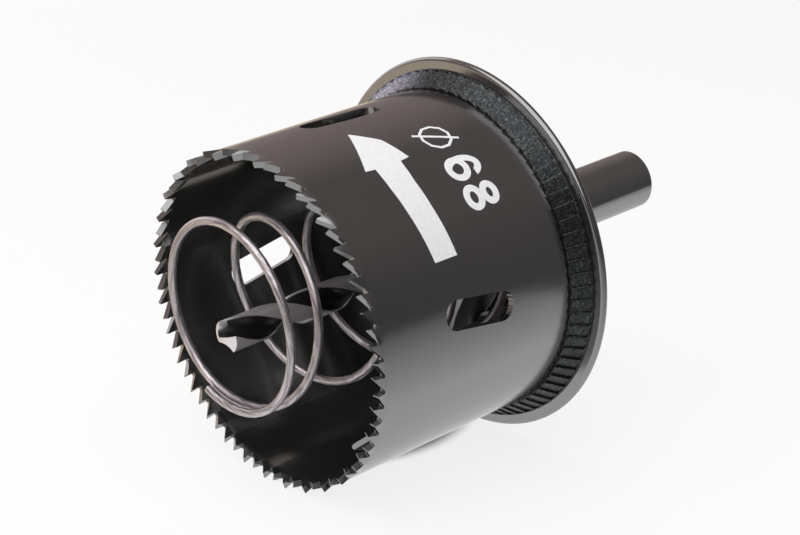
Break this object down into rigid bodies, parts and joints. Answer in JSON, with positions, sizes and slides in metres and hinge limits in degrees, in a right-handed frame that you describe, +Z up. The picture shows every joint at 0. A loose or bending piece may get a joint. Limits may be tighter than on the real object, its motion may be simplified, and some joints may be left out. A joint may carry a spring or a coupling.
{
  "type": "hole saw",
  "caption": "Hole saw for recessed lamps: toothed cup with chip slots, countersinking ring, stop flange, pilot drill, ejector spring and round shank.",
  "frame": {"origin": "centre of the base of the bounding box, on the surface the tool lies on", "axes": "+Z up; +X the way the shank points, seen from above; the tool's axis rises about 6 degrees towards +X; -Y is the side with the near chip slot"},
  "size_m": [0.1146, 0.0782, 0.0778],
  "materials": {
    "black_lacquer": "gloss",
    "blackened_steel": "satin",
    "plated_steel": "satin",
    "drill_steel": "bright",
    "spring_steel": "satin"
  },
  "bodies": {
    "root": {"saw_cup": "black_lacquer", "countersink_ring": "blackened_steel", "stop_flange": "black_lacquer", "arbor": "black_lacquer", "lock_nut": "plated_steel", "washer": "plated_steel", "pilot_drill": "drill_steel", "set_screw": "blackened_steel", "ejector_spring": "spring_steel"}
  },
  "joints": []
}
